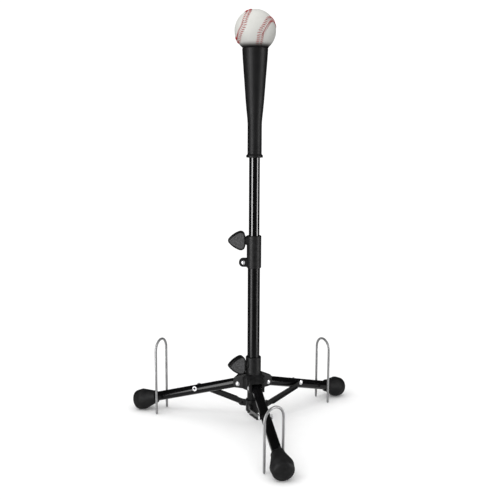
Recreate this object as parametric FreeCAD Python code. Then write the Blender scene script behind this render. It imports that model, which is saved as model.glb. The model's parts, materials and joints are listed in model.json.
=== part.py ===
import FreeCAD, Part
import math
import os

from FreeCAD import Vector

# Batting tee: a telescopic post on a folding three-leg base, with a hollow
# rubber ball holder on top, a baseball on it and three ground pegs.
# Millimetres, +Z up. The origin is on the ground, on the axis of the post.
# The front leg points along -Y and the other two lie 120 degrees either side.

# ---- driving dimensions -------------------------------------------------
LEG_AZIMUTHS = {"left": 150.0, "right": 30.0, "front": 270.0}

TUBE_WALL = 1.2
LOWER_TUBE_R = 11.0
LOWER_TUBE_BOTTOM = 24.0
LOWER_TUBE_TOP = 322.0
UPPER_TUBE_R = 9.5
UPPER_TUBE_BOTTOM = 190.0
UPPER_TUBE_TOP = 520.0
PLUG_FLANGE = 2.0
PLUG_DEPTH = 14.0
PLUG_WALL = 1.6

LEG_R = 8.8
LEG_END_INSET = 6.0
CROWN_PIVOT_R = 25.5
CROWN_PIVOT_Z = 78.0
FOOT_CENTRE_R = 226.0
FOOT_CENTRE_Z = 19.3
FOOT_R = 19.6
FOOT_NECK_R = 12.2
FOOT_OVERLAP = 31.0
FOOT_NECK = 4.0
FOOT_SHOULDER = 4.0
FOOT_FLATTEN = 1.6
FOOT_LIP = 0.6
LINK = 90.0
STRUT_PIVOT_RISE = 4.0

RIVET_R = 2.5
RIVET_HEAD_R = 3.9
RIVET_HEAD_H = 2.0
RUNNING_CLEARANCE = 0.05
PRESS_CLEARANCE = 0.01

STRUT_GAP = 2.0
STRUT_SHEET = 1.6
STRUT_HEIGHT = 11.0
STRUT_DEPTH = 4.4
STRUT_FLAT_END = 10.0
STRUT_RAMP = 2.5
SPACER_R = 5.0
STRUT_RIVET_HEAD_R = 3.6
ROLLED_END_R = 3.9
ROLLED_END_H = 1.5
ROLLED_BORE_R = 1.5

BRACKET_R = 13.5
BRACKET_HALF_HEIGHT = 9.0
BRACKET_LUG = 3.4
BRACKET_LUG_R = 6.2
BRACKET_COLLAR = 3.0
BRACKET_RIVET_HEAD_R = 3.4

CROWN_BOSS_R = 14.0
CROWN_TOP = 129.2
CROWN_DROP = 7.5
CROWN_RISE = 13.5
CROWN_ARM_END = 34.5
CROWN_ARM_HALF = 14.2
CROWN_SLOT_HALF = 9.3
CROWN_WEB_R = 21.0
CROWN_BORE_R = 11.3
CROWN_ROOF_RISE = 7.0
CROWN_PEDESTAL = 9.0
CROWN_RIB_HALF = 3.5
CROWN_RIB_TOP = 110.0

COLLAR_R = 13.0
COLLAR_BOTTOM = 294.3
COLLAR_TOP = 352.5
COLLAR_LIP = 2.0
COLLAR_CHAMFER = 0.8
COLLAR_AZIMUTH = 168.3
COLLAR_SCREW_Z = 343.6
EAR_Z = 304.0
EAR_REACH = 19.2
EAR_R = 7.6
EAR_SHEET = 4.0
EAR_SLIT = 2.0
PINCH_SCREW_R = 2.0
PINCH_HEAD_R = 3.6
PINCH_HEAD_H = 2.2
PINCH_SOCKET_R = 1.2
PINCH_SOCKET_DEPTH = 1.3
PINCH_NUT_FLATS = 7.0
PINCH_NUT_DEPTH = 3.2

CROWN_KNOB_AZIMUTH = 190.2
CROWN_SCREW_Z = 115.3

# Each clamp neck stands out from its sleeve by NECK_REACH. Half a turn of the
# screw frees the pressure pad, which has PAD_ROOM behind it.
NECK_R = 8.2
NECK_REACH = 2.0
NUT_DEPTH = 3.2
NUT_FLATS = 10.0
PAD_R = 4.0
PAD_POCKET_R = 4.3
PAD_ROOM = 0.6
PAD_THROAT = 1.5
SCREW_R = 3.0
SCREW_IN_KNOB = 17.0
SCREW_HEAD = 4.0
SCREW_HEAD_FLATS = 7.0
HEX_FIT = 0.04
THREAD_CLEARANCE = 0.08
KNOB_GAP = 0.4
# The knob's plate is a triangle with bowed sides, and these are its sizes before
# its corners are rounded.
KNOB_LENGTH = 32.3
KNOB_HALF_WIDTH = 18.8
KNOB_THICKNESS = 9.6
KNOB_BOW = 3.6
KNOB_BASE_BOW = 3.0
KNOB_CORNER_R = 7.5
KNOB_TIP_R = 5.0
KNOB_RIM_R = 2.2
KNOB_HUB_R = 7.6
KNOB_HUB_REACH = 5.0
KNOB_SWING_R = 18.2

HOLDER_BOTTOM = 490.6
HOLDER_LIP_R = 14.7
HOLDER_SLEEVE_R = 12.45
HOLDER_SLEEVE_TOP = 545.0
HOLDER_LOW_R = 14.2
HOLDER_LOW_Z = 568.0
HOLDER_MID_R = 18.6
HOLDER_MID_Z = 622.0
HOLDER_RIM_R = 22.3
HOLDER_RIM_Z = 676.5
SEAT_EDGE_R = 21.3
HOLDER_LIP_H = 3.4
HOLDER_RIM_ROUND = 1.6
HOLDER_CUP_R = 18.4
HOLDER_CUP_Z = 664.0
HOLDER_THROAT_R = 9.6
HOLDER_THROAT_Z = 552.0
HOLDER_WEB = 5.0
HOLDER_VENT_R = 2.5

BALL_R = 35.6
BALL_COVER = 1.3
BALL_CORE_R = 17.5
FIT_GAP = 0.3
SKIN_GAP = 0.05

# Each peg straddles its leg: its height, its distance from the post, how far it
# stands to one side of the leg, and its turn about its own upright axis.
PEG_WIRE_R = 2.2
PEG_HALF_WIDTH = 20.0
PEG_PLACES = {
    "left": (146.0, 186.0, 0.0, -4.0),
    "right": (130.0, 186.0, 0.0, -10.5),
    "front": (108.0, 194.5, -6.2, 28.3),
}
PEG_TIP_Z = 0.8
PEG_TIP_R = 1.5
PEG_POINT = 2.0

# ---- worked-out geometry ------------------------------------------------
LEG_LENGTH = math.hypot(FOOT_CENTRE_R - CROWN_PIVOT_R, CROWN_PIVOT_Z - FOOT_CENTRE_Z)
LEG_SLOPE = math.asin((CROWN_PIVOT_Z - FOOT_CENTRE_Z) / LEG_LENGTH)
# The strut pivot lies a little above the leg's centreline. The crown pivot and
# the bracket pivot are equally far from it, so the crown stays level and slides
# straight along the post as the legs fold.
LINK_SLOPE = LEG_SLOPE - math.asin(STRUT_PIVOT_RISE / LINK)
STRUT_PIVOT_R = CROWN_PIVOT_R + LINK * math.cos(LINK_SLOPE)
STRUT_PIVOT_Z = CROWN_PIVOT_Z - LINK * math.sin(LINK_SLOPE)
BRACKET_PIVOT_Z = CROWN_PIVOT_Z - 2.0 * LINK * math.sin(LINK_SLOPE)
COLLAR_NECK_END = COLLAR_R + NECK_REACH
CROWN_NECK_END = CROWN_BOSS_R + NECK_REACH
BALL_Z = HOLDER_RIM_Z + math.sqrt((BALL_R + FIT_GAP) ** 2 - SEAT_EDGE_R**2)
STRUT_FACE = -(LEG_R + STRUT_GAP)
LUG_FACE = STRUT_FACE + 0.2

OUT = Vector(1, 0, 0)
SIDE = Vector(0, 1, 0)
UP = Vector(0, 0, 1)
CENTRE = Vector(0, 0, 0)


# ---- helpers ------------------------------------------------------------
def rod(radius, start, end):
    """A round bar between two points."""
    along = end - start
    return Part.makeCylinder(radius, along.Length, start, along)


def upright(radius, low, high):
    return rod(radius, Vector(0, 0, low), Vector(0, 0, high))


def outward(radius, near, far, height):
    """A round bar along the local +X direction at a height above the ground."""
    return rod(radius, Vector(near, 0, height), Vector(far, 0, height))


def across(radius, x, z, low, high):
    """A round bar along the local +Y direction."""
    return rod(radius, Vector(x, low, z), Vector(x, high, z))


def box(low, high):
    size = Vector(*high) - Vector(*low)
    return Part.makeBox(size.x, size.y, size.z, Vector(*low))


def turned(shape, azimuth):
    """A copy of a shape made in the local frame, turned about the post's axis."""
    copy = shape.copy()
    copy.rotate(CENTRE, UP, azimuth)
    return copy


def revolved(edges, base=CENTRE, axis=UP):
    face = Part.Face(Part.Wire(edges))
    return face.revolve(base, axis, 360)


def polygon_edges(points):
    return [Part.makeLine(a, b) for a, b in zip(points, points[1:])]


def along_leg(distance, rise=0.0):
    """A point on the leg's centreline, measured out from the crown pivot."""
    x = CROWN_PIVOT_R + distance * math.cos(LEG_SLOPE) + rise * math.sin(LEG_SLOPE)
    z = CROWN_PIVOT_Z - distance * math.sin(LEG_SLOPE) + rise * math.cos(LEG_SLOPE)
    return Vector(x, 0, z)


def hexagon(flats, near, far, height):
    """A hexagonal bar along local +X."""
    corner = flats / math.sqrt(3.0)
    points = []
    for step in range(7):
        angle = math.radians(60 * step)
        points.append(Vector(near, corner * math.cos(angle), height + corner * math.sin(angle)))
    face = Part.Face(Part.makePolygon(points))
    return face.extrude(Vector(far - near, 0, 0))


def rivet_head(x, z, y, facing, radius=RIVET_HEAD_R, height=RIVET_HEAD_H):
    """A low domed head whose flat side is at y and which bulges towards facing."""
    ball_r = (radius**2 + height**2) / (2.0 * height)
    centre = Vector(x, y + facing * (height - ball_r), z)
    dome = Part.makeSphere(ball_r, centre)
    reach = radius + 1.0
    low = min(y, y + facing * height)
    cap = box((x - reach, low, z - reach), (x + reach, low + height, z + reach))
    return dome.common(cap)


def rivet(x, z, low, high, head_r=RIVET_HEAD_R):
    """A solid rivet along local Y between two faces, with a domed head outside each."""
    shank = across(RIVET_R, x, z, low, high)
    return shank.fuse([rivet_head(x, z, low, -1, head_r), rivet_head(x, z, high, 1, head_r)])


def clean(shape):
    """The same solid with seams between coplanar faces removed."""
    tidy = shape.removeSplitter()
    return tidy.Solids[0] if len(tidy.Solids) == 1 else tidy


# ---- post ---------------------------------------------------------------
def tube(radius, low, high):
    return upright(radius, low, high).cut(upright(radius - TUBE_WALL, low - 1, high + 1))


def tube_plug(radius, end):
    """A moulded plug pressed up into a tube's lower end, with a flange under it."""
    inner = radius - TUBE_WALL - PRESS_CLEARANCE
    top = end + PLUG_DEPTH
    flange = upright(radius, end - PLUG_FLANGE, end)
    skirt = upright(inner, end, top)
    hollow = upright(inner - PLUG_WALL, end, top + 1)
    return clean(flange.fuse(skirt).cut(hollow))


def ball_holder():
    """The hollow rubber cone: a sleeve on the tube, opening out to a round seat."""
    bore = UPPER_TUBE_R + PRESS_CLEARANCE
    lip_top = HOLDER_BOTTOM + HOLDER_LIP_H
    rim_round = HOLDER_RIM_ROUND
    flare = Part.BSplineCurve()
    flare.interpolate(
        [
            Vector(HOLDER_SLEEVE_R, 0, HOLDER_SLEEVE_TOP),
            Vector(HOLDER_LOW_R, 0, HOLDER_LOW_Z),
            Vector(HOLDER_MID_R, 0, HOLDER_MID_Z),
            Vector(HOLDER_RIM_R, 0, HOLDER_RIM_Z - rim_round),
        ],
        InitialTangent=Vector(0, 0, 1),
        FinalTangent=Vector(0.05, 0, 1),
    )
    rim = Part.Arc(
        Vector(HOLDER_RIM_R, 0, HOLDER_RIM_Z - rim_round),
        Vector(HOLDER_RIM_R - 0.45, 0, HOLDER_RIM_Z - 0.45),
        Vector(HOLDER_RIM_R - rim_round, 0, HOLDER_RIM_Z),
    )
    outside = polygon_edges(
        [
            Vector(bore, 0, HOLDER_BOTTOM),
            Vector(HOLDER_LIP_R - 0.8, 0, HOLDER_BOTTOM),
            Vector(HOLDER_LIP_R, 0, HOLDER_BOTTOM + 0.8),
            Vector(HOLDER_LIP_R, 0, lip_top),
            Vector(HOLDER_SLEEVE_R, 0, lip_top + 2.6),
            Vector(HOLDER_SLEEVE_R, 0, HOLDER_SLEEVE_TOP),
        ]
    )
    web_low = UPPER_TUBE_TOP
    web_high = UPPER_TUBE_TOP + HOLDER_WEB
    inside = polygon_edges(
        [
            Vector(HOLDER_RIM_R - rim_round, 0, HOLDER_RIM_Z),
            Vector(HOLDER_CUP_R, 0, HOLDER_RIM_Z),
            Vector(HOLDER_CUP_R, 0, HOLDER_CUP_Z),
            Vector(HOLDER_THROAT_R, 0, HOLDER_THROAT_Z),
            Vector(HOLDER_THROAT_R - 1.0, 0, web_high),
            Vector(HOLDER_VENT_R, 0, web_high),
            Vector(HOLDER_VENT_R, 0, web_low),
            Vector(bore, 0, web_low),
            Vector(bore, 0, HOLDER_BOTTOM),
        ]
    )
    cone = revolved(outside + [flare.toShape(), rim.toShape()] + inside)
    return cone.cut(Part.makeSphere(BALL_R + FIT_GAP, Vector(0, 0, BALL_Z)))


def post_parts():
    pocket = turned(outward(PAD_POCKET_R, 0, COLLAR_R, COLLAR_SCREW_Z), COLLAR_AZIMUTH)
    return {
        "lower_tube": tube(LOWER_TUBE_R, LOWER_TUBE_BOTTOM, LOWER_TUBE_TOP),
        "lower_tube_plug": tube_plug(LOWER_TUBE_R, LOWER_TUBE_BOTTOM),
        "upper_tube": tube(UPPER_TUBE_R, UPPER_TUBE_BOTTOM, UPPER_TUBE_TOP),
        "upper_tube_plug": tube_plug(UPPER_TUBE_R, UPPER_TUBE_BOTTOM),
        "guide_ring": upright(LOWER_TUBE_R, LOWER_TUBE_TOP, COLLAR_TOP - COLLAR_LIP)
        .cut(upright(UPPER_TUBE_R + FIT_GAP, LOWER_TUBE_TOP - 1, COLLAR_TOP))
        .cut(pocket),
        "ball_holder": ball_holder(),
    }


# ---- baseball -----------------------------------------------------------
def ball_parts():
    centre = Vector(0, 0, BALL_Z)
    inner = BALL_R - BALL_COVER
    cover = Part.makeSphere(BALL_R, centre).cut(Part.makeSphere(inner, centre))
    winding = Part.makeSphere(inner - SKIN_GAP, centre)
    winding = winding.cut(Part.makeSphere(BALL_CORE_R + SKIN_GAP, centre))
    core = Part.makeSphere(BALL_CORE_R, centre)
    return {"ball_cover": cover, "ball_winding": winding, "ball_core": core}


# ---- clamp screws and knobs ----------------------------------------------
def pad_end(neck_end):
    """How far out the pad's outer face lies when the knob is tight."""
    return neck_end - NUT_DEPTH - PAD_ROOM


def clamp_neck(height, neck_end):
    return outward(NECK_R, 4.0, neck_end, height)


def clamp_neck_cut(height, tube_r, neck_end):
    """The pocket for the pressure pad and the nut, along local +X."""
    nut_start = neck_end - NUT_DEPTH
    pocket = outward(PAD_POCKET_R, tube_r - PAD_THROAT, nut_start + 0.1, height)
    seat = hexagon(NUT_FLATS + HEX_FIT, nut_start, neck_end + 1, height)
    return pocket.fuse(seat)


def clamp_nut(height, neck_end):
    nut = hexagon(NUT_FLATS, neck_end - NUT_DEPTH, neck_end, height)
    return nut.cut(outward(SCREW_R + THREAD_CLEARANCE, 0, neck_end + 1, height))


def clamp_pad(height, tube_r, neck_end):
    """The pressure pad: its inner face is hollowed to match the tube."""
    pad = outward(PAD_R, tube_r - PAD_THROAT, pad_end(neck_end), height)
    return pad.cut(upright(tube_r + FIT_GAP, height - 10, height + 10))


def clamp_screw(height, neck_end):
    """The screw, with a hexagonal head moulded into the knob."""
    end = neck_end + SCREW_IN_KNOB
    shank = outward(SCREW_R, pad_end(neck_end) + SKIN_GAP, end, height)
    head = hexagon(SCREW_HEAD_FLATS, end - SCREW_HEAD, end, height)
    return clean(shank.fuse(head))


def wing_knob(height, neck_end):
    """A flat three-cornered knob with bowed sides, standing on a round hub."""
    start = neck_end + KNOB_GAP
    base = start + KNOB_BASE_BOW
    tip = Vector(start + KNOB_LENGTH, 0, 0)
    top = Vector(base, 0, KNOB_HALF_WIDTH)
    low = Vector(base, 0, -KNOB_HALF_WIDTH)

    def side(start, end, amount):
        middle = (start + end) * 0.5
        away = (end - start).cross(SIDE)
        away.normalize()
        return Part.Arc(start, middle + away * amount, end).toShape()

    bowed = [side(top, tip, KNOB_BOW), side(tip, low, KNOB_BOW), side(low, top, KNOB_BASE_BOW)]
    plate = Part.Face(Part.Wire(bowed))
    plate.translate(Vector(0, -KNOB_THICKNESS / 2.0, 0))
    plate = plate.extrude(Vector(0, KNOB_THICKNESS, 0))
    corners = [e for e in plate.Edges if abs(e.BoundBox.YLength - KNOB_THICKNESS) < 0.01]
    plate = plate.makeFillet(KNOB_CORNER_R, [e for e in corners if e.BoundBox.XMax < base + 1])
    corners = [e for e in plate.Edges if abs(e.BoundBox.YLength - KNOB_THICKNESS) < 0.01]
    plate = plate.makeFillet(KNOB_TIP_R, [e for e in corners if e.BoundBox.XMin > tip.x - 1])
    rims = [e for e in plate.Edges if abs(e.BoundBox.YLength) < 0.01]
    plate = plate.makeFillet(KNOB_RIM_R, rims)
    plate.translate(Vector(0, 0, height))
    hub = outward(KNOB_HUB_R, start, start + KNOB_HUB_REACH, height)
    end = neck_end + SCREW_IN_KNOB
    knob = plate.fuse(hub)
    knob = knob.cut(outward(SCREW_R + PRESS_CLEARANCE, 0, end, height))
    knob = knob.cut(hexagon(SCREW_HEAD_FLATS + HEX_FIT, end - SCREW_HEAD, end, height))
    return clean(knob)


def clamp_parts(name, height, tube_r, neck_end, azimuth):
    return {
        f"{name}_clamp_nut": turned(clamp_nut(height, neck_end), azimuth),
        f"{name}_clamp_pad": turned(clamp_pad(height, tube_r, neck_end), azimuth),
        f"{name}_clamp_screw": turned(clamp_screw(height, neck_end), azimuth),
        f"{name}_knob": turned(wing_knob(height, neck_end), azimuth),
    }


# ---- height collar --------------------------------------------------------
def height_collar():
    """A moulded sleeve: split and pinched on the lower tube at its foot, with a
    screw neck at its head that clamps the upper tube."""
    body = upright(COLLAR_R, COLLAR_BOTTOM, COLLAR_TOP)
    rims = [e for e in body.Edges if e.BoundBox.ZLength < 0.01]
    body = body.makeChamfer(COLLAR_CHAMFER, rims)
    body = body.fuse(clamp_neck(COLLAR_SCREW_Z, COLLAR_NECK_END))
    ear_half = EAR_SHEET + EAR_SLIT / 2.0
    ear = across(EAR_R, EAR_REACH, EAR_Z, -ear_half, ear_half)
    ear = ear.fuse(box((5.0, -ear_half, EAR_Z - EAR_R), (EAR_REACH, ear_half, EAR_Z + EAR_R)))
    slit_half = EAR_SLIT / 2.0
    slit_top = EAR_Z + EAR_R + 3.0
    slit = box((0.0, -slit_half, COLLAR_BOTTOM - 1), (EAR_REACH + EAR_R + 1, slit_half, slit_top))
    body = body.fuse(ear).cut(slit)
    body = body.cut(upright(LOWER_TUBE_R + PRESS_CLEARANCE, COLLAR_BOTTOM - 1, COLLAR_TOP - COLLAR_LIP))
    body = body.cut(upright(UPPER_TUBE_R + FIT_GAP, COLLAR_TOP - 3, COLLAR_TOP + 1))
    body = body.cut(clamp_neck_cut(COLLAR_SCREW_Z, UPPER_TUBE_R, COLLAR_NECK_END))
    body = body.cut(across(PINCH_SCREW_R + RUNNING_CLEARANCE, EAR_REACH, EAR_Z, -20, 20))
    return turned(clean(body), COLLAR_AZIMUTH)


def pinch_parts():
    ear_half = EAR_SHEET + EAR_SLIT / 2.0
    screw = across(PINCH_SCREW_R, EAR_REACH, EAR_Z, -ear_half - PINCH_NUT_DEPTH - 0.8, ear_half)
    screw = screw.fuse(rivet_head(EAR_REACH, EAR_Z, ear_half, 1, PINCH_HEAD_R, PINCH_HEAD_H))
    socket_floor = ear_half + PINCH_HEAD_H - PINCH_SOCKET_DEPTH
    socket = across(PINCH_SOCKET_R, EAR_REACH, EAR_Z, socket_floor, ear_half + PINCH_HEAD_H + 1)
    screw = screw.cut(socket)
    nut = hexagon(PINCH_NUT_FLATS, 0, PINCH_NUT_DEPTH, 0)
    nut = nut.cut(outward(PINCH_SCREW_R + THREAD_CLEARANCE, -1, PINCH_NUT_DEPTH + 1, 0))
    nut.rotate(CENTRE, UP, -90)
    nut.translate(Vector(EAR_REACH, -ear_half, EAR_Z))
    return {
        "collar_pinch_screw": turned(clean(screw), COLLAR_AZIMUTH),
        "collar_pinch_nut": turned(nut, COLLAR_AZIMUTH),
    }


# ---- crown and bottom bracket ----------------------------------------------
def crown_arm():
    """One arm of the crown: a roof and two cheeks that hold a leg's inner end."""
    low = CROWN_PIVOT_Z - CROWN_DROP
    high = CROWN_PIVOT_Z + CROWN_RISE
    profile = Part.makePolygon(
        [
            Vector(0, -CROWN_ARM_HALF, low),
            Vector(CROWN_ARM_END - 3.0, -CROWN_ARM_HALF, low),
            Vector(CROWN_ARM_END, -CROWN_ARM_HALF, low + 3.0),
            Vector(CROWN_ARM_END, -CROWN_ARM_HALF, high - 4.0),
            Vector(CROWN_ARM_END - 4.0, -CROWN_ARM_HALF, high),
            Vector(CROWN_BOSS_R, -CROWN_ARM_HALF, high + CROWN_ROOF_RISE),
            Vector(0, -CROWN_ARM_HALF, high + CROWN_ROOF_RISE),
            Vector(0, -CROWN_ARM_HALF, low),
        ]
    )
    arm = Part.Face(profile).extrude(Vector(0, 2 * CROWN_ARM_HALF, 0))
    crest = [e for e in arm.Edges if e.BoundBox.YLength < 0.01 and e.BoundBox.XMin > 10]
    return arm.makeFillet(2.0, [e for e in crest if e.BoundBox.ZMax > low + 4.0])


def crown_slot():
    low = CROWN_PIVOT_Z - CROWN_DROP - 1.0
    roof = CROWN_PIVOT_Z + LEG_R + 0.6
    inner = CROWN_BOSS_R + 1.6
    slot = box((inner, -CROWN_SLOT_HALF, low), (CROWN_ARM_END + 1, CROWN_SLOT_HALF, roof))
    pin_reach = CROWN_ARM_HALF + 1
    pin = across(RIVET_R + PRESS_CLEARANCE, CROWN_PIVOT_R, CROWN_PIVOT_Z, -pin_reach, pin_reach)
    return slot.fuse(pin)


def leg_crown():
    """The sliding crown: a clamp boss on the post with three forked arms."""
    low = CROWN_PIVOT_Z - CROWN_DROP
    web_top = CROWN_PIVOT_Z + CROWN_RISE
    boss = upright(CROWN_BOSS_R, low, CROWN_TOP)
    rims = [e for e in boss.Edges if e.BoundBox.ZLength < 0.01 and e.BoundBox.ZMin > CROWN_TOP - 1]
    boss = boss.makeChamfer(0.9, rims)
    web = Part.makeCone(CROWN_WEB_R, CROWN_BOSS_R, CROWN_PEDESTAL, Vector(0, 0, web_top))
    web = web.fuse(upright(CROWN_WEB_R, low, web_top))
    rib = box((0, -CROWN_RIB_HALF, web_top - 1), (CROWN_NECK_END - 0.4, CROWN_RIB_HALF, CROWN_RIB_TOP))
    web = web.fuse(turned(rib, CROWN_KNOB_AZIMUTH))
    neck = turned(clamp_neck(CROWN_SCREW_Z, CROWN_NECK_END), CROWN_KNOB_AZIMUTH)
    screw_way = clamp_neck_cut(CROWN_SCREW_Z, LOWER_TUBE_R, CROWN_NECK_END)
    body = boss.fuse([web, neck] + [turned(crown_arm(), a) for a in LEG_AZIMUTHS.values()])
    body = body.cut([turned(crown_slot(), a) for a in LEG_AZIMUTHS.values()])
    body = body.cut(upright(CROWN_BORE_R, low - 1, CROWN_TOP + 1))
    swing = outward(KNOB_SWING_R, CROWN_NECK_END + 0.1, CROWN_ARM_END, CROWN_SCREW_Z)
    return clean(body.cut(turned(screw_way.fuse(swing), CROWN_KNOB_AZIMUTH)))


def crown_rivets():
    one = rivet(CROWN_PIVOT_R, CROWN_PIVOT_Z, -CROWN_ARM_HALF, CROWN_ARM_HALF)
    return Part.makeCompound([turned(one, a) for a in LEG_AZIMUTHS.values()])


def bottom_bracket():
    """The fixed bracket on the post's foot: a sleeve with three lugs set
    beside the legs, pinwheel fashion."""
    low = BRACKET_PIVOT_Z - BRACKET_HALF_HEIGHT
    high = BRACKET_PIVOT_Z + BRACKET_HALF_HEIGHT + BRACKET_COLLAR
    body = upright(BRACKET_R, low, high)
    lug_out = LUG_FACE
    lug_in = LUG_FACE + BRACKET_LUG
    lug = across(BRACKET_LUG_R, CROWN_PIVOT_R, BRACKET_PIVOT_Z, lug_out, lug_in)
    arm_low = BRACKET_PIVOT_Z - BRACKET_LUG_R
    arm_high = BRACKET_PIVOT_Z + BRACKET_LUG_R
    lug = lug.fuse(box((0, lug_out, arm_low), (CROWN_PIVOT_R, lug_in, arm_high)))
    hole = across(RIVET_R + PRESS_CLEARANCE, CROWN_PIVOT_R, BRACKET_PIVOT_Z, -20, 0)
    body = body.fuse([turned(lug, a) for a in LEG_AZIMUTHS.values()])
    body = body.cut([turned(hole, a) for a in LEG_AZIMUTHS.values()])
    return clean(body.cut(upright(LOWER_TUBE_R + PRESS_CLEARANCE, low - 1, high + 1)))


def bracket_rivets():
    low = STRUT_FACE - STRUT_SHEET - RUNNING_CLEARANCE
    high = LUG_FACE + BRACKET_LUG
    one = rivet(CROWN_PIVOT_R, BRACKET_PIVOT_Z, low, high, BRACKET_RIVET_HEAD_R)
    return Part.makeCompound([turned(one, a) for a in LEG_AZIMUTHS.values()])


# ---- legs -------------------------------------------------------------------
def leg_tube():
    """A round tube whose inner end is rounded about the crown pivot."""
    end = LEG_LENGTH - LEG_END_INSET
    outer = rod(LEG_R, along_leg(0), along_leg(end))
    knuckle = across(LEG_R, CROWN_PIVOT_R, CROWN_PIVOT_Z, -LEG_R, LEG_R)
    nose = rod(LEG_R, along_leg(-LEG_R), along_leg(LEG_R)).common(knuckle)
    hollow = rod(LEG_R - TUBE_WALL, along_leg(-LEG_R - 2), along_leg(end + 1))
    body = outer.fuse(nose).cut(hollow)
    hole_r = RIVET_R + RUNNING_CLEARANCE
    body = body.cut(across(hole_r, CROWN_PIVOT_R, CROWN_PIVOT_Z, -20, 20))
    return clean(body.cut(across(hole_r, STRUT_PIVOT_R, STRUT_PIVOT_Z, -20, 20)))


def foot():
    """A rubber foot pushed over the leg's end: neck, flare and rounded sole."""
    neck_start = LEG_LENGTH - FOOT_OVERLAP
    neck_end = neck_start + FOOT_NECK
    shoulder = LEG_LENGTH - FOOT_SHOULDER
    end = LEG_LENGTH + FOOT_R - FOOT_FLATTEN
    axis = along_leg(1) - along_leg(0)
    dome = Part.Arc(
        along_leg(shoulder, FOOT_R),
        along_leg(LEG_LENGTH + FOOT_R * 0.62, FOOT_R * 0.73),
        along_leg(end, 0),
    )
    edges = polygon_edges(
        [
            along_leg(end, 0),
            along_leg(neck_start, 0),
            along_leg(neck_start, FOOT_NECK_R - FOOT_LIP),
            along_leg(neck_start + FOOT_LIP, FOOT_NECK_R),
            along_leg(neck_end, FOOT_NECK_R),
            along_leg(shoulder, FOOT_R),
        ]
    )
    body = revolved(edges + [dome.toShape()], along_leg(0), axis)
    floor = along_leg(LEG_LENGTH - LEG_END_INSET + 0.1)
    bore = rod(LEG_R + PRESS_CLEARANCE, along_leg(neck_start - 1), floor)
    ground = box((FOOT_CENTRE_R - 60, -40, -30), (FOOT_CENTRE_R + 60, 40, 0))
    return body.cut(bore).cut(ground)


def strut():
    """A stamped bar with rounded flat ends and edges turned out in between."""
    start = Vector(CROWN_PIVOT_R, STRUT_FACE, BRACKET_PIVOT_Z)
    length = LINK
    half = STRUT_HEIGHT / 2.0
    outer = -STRUT_SHEET
    plate = across(half, 0, 0, outer, 0).fuse(across(half, length, 0, outer, 0))
    plate = plate.fuse(box((0, outer, -half), (length, 0, half)))
    for low in (-half, half - STRUT_SHEET):
        first = (STRUT_FLAT_END, -STRUT_DEPTH, low)
        last = (length - STRUT_FLAT_END, 0, low + STRUT_SHEET)
        flange = box(first, last)
        crest = [e for e in flange.Edges if e.BoundBox.XLength < 0.01 and e.BoundBox.YLength < 0.01]
        outer_ends = [e for e in crest if e.BoundBox.YMax < -STRUT_DEPTH + 0.1]
        plate = plate.fuse(flange.makeChamfer(STRUT_RAMP, outer_ends))
    for x in (0, length):
        plate = plate.cut(across(RIVET_R + RUNNING_CLEARANCE, x, 0, -5, 5))
    body = clean(plate)
    body.rotate(CENTRE, SIDE, -math.degrees(LINK_SLOPE))
    body.translate(start)
    return body


def strut_spacer():
    """The moulded saddle washer on the leg, which the strut turns against."""
    ring = across(SPACER_R, STRUT_PIVOT_R, STRUT_PIVOT_Z, STRUT_FACE + RUNNING_CLEARANCE, -3.0)
    ring = ring.cut(rod(LEG_R + 0.02, along_leg(LINK - 30), along_leg(LINK + 30)))
    return ring.cut(across(RIVET_R + RUNNING_CLEARANCE, STRUT_PIVOT_R, STRUT_PIVOT_Z, -20, 0))


def strut_rivet():
    """The rivet through strut and leg: a domed head outside the strut and a
    rolled hollow end on the far side of the leg."""
    low = STRUT_FACE - STRUT_SHEET - RUNNING_CLEARANCE
    far = LEG_R + 0.2
    x = STRUT_PIVOT_R
    z = STRUT_PIVOT_Z
    body = across(RIVET_R, x, z, low, far).fuse(rivet_head(x, z, low, -1, STRUT_RIVET_HEAD_R))
    top = far + ROLLED_END_H
    rolled = across(ROLLED_END_R, x, z, far, top)
    rolled = rolled.makeFillet(0.6, [e for e in rolled.Edges if e.BoundBox.YMin > top - 0.1])
    return clean(body.fuse(rolled).cut(across(ROLLED_BORE_R, x, z, far - 6.0, top + 1)))


def ground_peg(height, radius, offset, twist):
    """A bent-wire peg that straddles the leg just inboard of its foot."""
    arch_z = height - PEG_WIRE_R - PEG_HALF_WIDTH
    centre = Vector(radius, offset, arch_z)
    arch = Part.makeTorus(PEG_HALF_WIDTH, PEG_WIRE_R, centre, OUT, -180, 180, 360)
    above = box((radius - 5, offset - 40, arch_z), (radius + 5, offset + 40, height + 10))
    body = arch.common(above)
    prongs = []
    for side in (-1, 1):
        foot_point = Vector(radius, offset + side * PEG_HALF_WIDTH, PEG_TIP_Z + PEG_POINT)
        head_point = Vector(radius, offset + side * PEG_HALF_WIDTH, arch_z)
        prongs.append(rod(PEG_WIRE_R, foot_point, head_point))
        prongs.append(Part.makeCone(PEG_WIRE_R, PEG_TIP_R, PEG_POINT, foot_point, Vector(0, 0, -1)))
    body = clean(body.fuse(prongs))
    body.rotate(centre, UP, twist)
    return body


def leg_set(name, azimuth):
    return {
        f"leg_{name}": turned(leg_tube(), azimuth),
        f"foot_{name}": turned(foot(), azimuth),
        f"strut_{name}": turned(strut(), azimuth),
        f"strut_spacer_{name}": turned(strut_spacer(), azimuth),
        f"strut_rivet_{name}": turned(strut_rivet(), azimuth),
        f"peg_{name}": turned(ground_peg(*PEG_PLACES[name]), azimuth),
    }


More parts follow.
